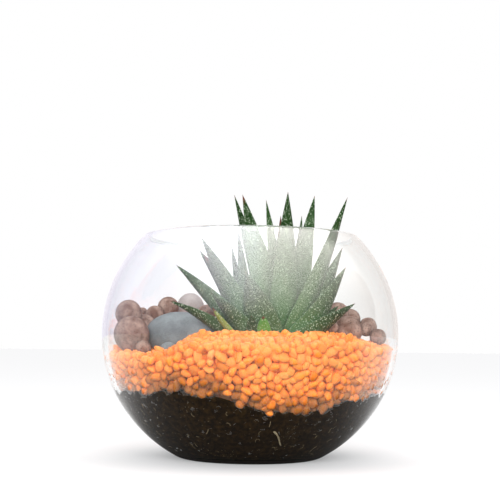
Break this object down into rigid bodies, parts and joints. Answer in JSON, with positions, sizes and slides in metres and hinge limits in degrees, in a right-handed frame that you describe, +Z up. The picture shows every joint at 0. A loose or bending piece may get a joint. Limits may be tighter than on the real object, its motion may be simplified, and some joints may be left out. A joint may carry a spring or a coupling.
{
  "type": "glass plant terrarium",
  "caption": "Round open glass bowl planted with a pointed rosette succulent in dark soil under orange gravel, with clay balls and river stones.",
  "frame": {"origin": "middle of the flat foot of the bowl, on the surface it stands on", "axes": "+Z up through the mouth of the bowl; -Y is the front as pictured; +X to the right of the front"},
  "size_m": [0.1798, 0.1798, 0.1628],
  "materials": {
    "clear_glass": "clear polished",
    "potting_soil": "rough, damp and crumbly",
    "orange_gravel": "dyed, slightly waxy",
    "fired_clay": "matt, finely pitted",
    "grey_stone": "water-worn, matt",
    "pale_stone": "water-worn, matt",
    "stem": "rough",
    "leaf": "fleshy, finely dotted with white",
    "young_leaf": "fleshy",
    "fading_leaf": "dry"
  },
  "bodies": {
    "root": {"clay_ball_back_1": "fired_clay", "clay_ball_back_2": "fired_clay", "clay_ball_back_3": "fired_clay", "clay_ball_left_1": "fired_clay", "clay_ball_left_2": "fired_clay", "clay_ball_left_3": "fired_clay", "clay_ball_left_4": "fired_clay", "clay_ball_left_5": "fired_clay", "clay_ball_left_6": "fired_clay", "clay_ball_left_7": "fired_clay", "clay_ball_left_8": "fired_clay", "clay_ball_left_9": "fired_clay", "clay_ball_right_1": "fired_clay", "clay_ball_right_2": "fired_clay", "clay_ball_right_3": "fired_clay", "clay_ball_right_4": "fired_clay", "clay_ball_right_5": "fired_clay", "clay_ball_right_6": "fired_clay", "clay_ball_right_7": "fired_clay", "clay_ball_right_8": "fired_clay", "glass_bowl": "clear_glass", "gravel_layer": "orange_gravel", "grey_river_stone": "grey_stone", "inner_leaf_1": "leaf", "inner_leaf_2": "leaf", "inner_leaf_3": "leaf", "inner_leaf_4": "leaf", "inner_leaf_5": "leaf", "inner_leaf_6": "leaf", "inner_leaf_7": "leaf", "inner_leaf_8": "leaf", "middle_leaf_1": "leaf", "middle_leaf_10": "leaf", "middle_leaf_11": "leaf", "middle_leaf_2": "leaf", "middle_leaf_3": "leaf", "middle_leaf_4": "leaf", "middle_leaf_5": "leaf", "middle_leaf_6": "leaf", "middle_leaf_7": "leaf", "middle_leaf_8": "leaf", "middle_leaf_9": "leaf", "outer_leaf_1": "leaf", "outer_leaf_2": "leaf", "outer_leaf_3": "leaf", "outer_leaf_4": "leaf", "outer_leaf_5": "leaf", "outer_leaf_6": "leaf", "outer_leaf_7": "leaf", "outer_leaf_8": "leaf", "pale_river_stone": "pale_stone", "plant_stem": "stem", "small_grey_pebble": "grey_stone", "small_leaf_1": "young_leaf", "small_leaf_2": "leaf", "small_leaf_3": "fading_leaf", "soil": "potting_soil"}
  },
  "joints": []
}
